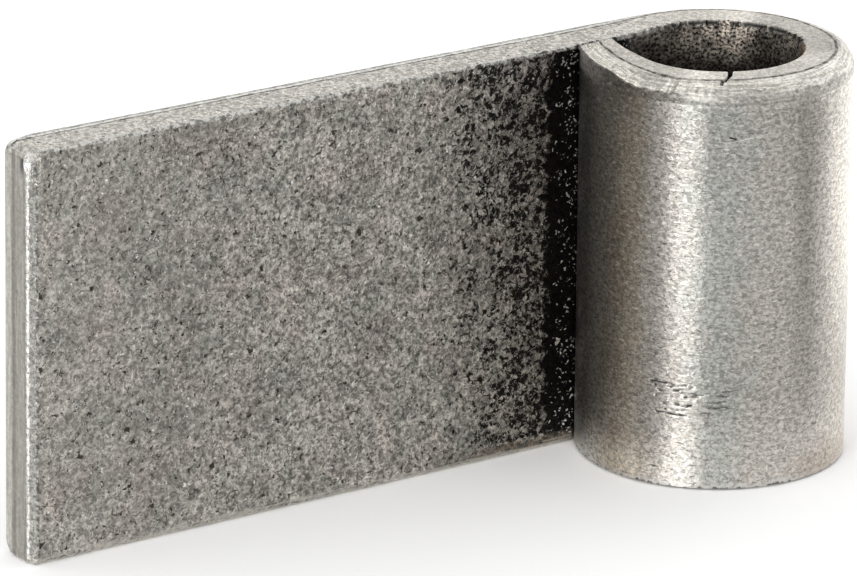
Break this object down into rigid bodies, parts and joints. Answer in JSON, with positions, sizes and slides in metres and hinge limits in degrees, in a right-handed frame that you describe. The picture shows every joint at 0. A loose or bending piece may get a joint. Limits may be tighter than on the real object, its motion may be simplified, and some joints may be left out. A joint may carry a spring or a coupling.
{
  "type": "weld-on rolled-eye hinge leaf",
  "caption": "Flat steel strip with one end rolled into a round eye, welded to a gate, door or tailgate as the barrel leaf of a pin hinge.",
  "frame": {"origin": "on the bore's axis, half way along the bore", "axes": "+Z along the bore's axis, -X out along the leaf to its sheared end, +Y out of the leaf's back face, which is tangent to the barrel"},
  "size_m": [0.0844, 0.0256, 0.04],
  "materials": {
    "bare_steel": "bare hot-rolled and sheared steel, satin where rolled, mill scale by the seam"
  },
  "bodies": {
    "root": {"rolled_eye_leaf": "bare_steel"}
  },
  "joints": []
}
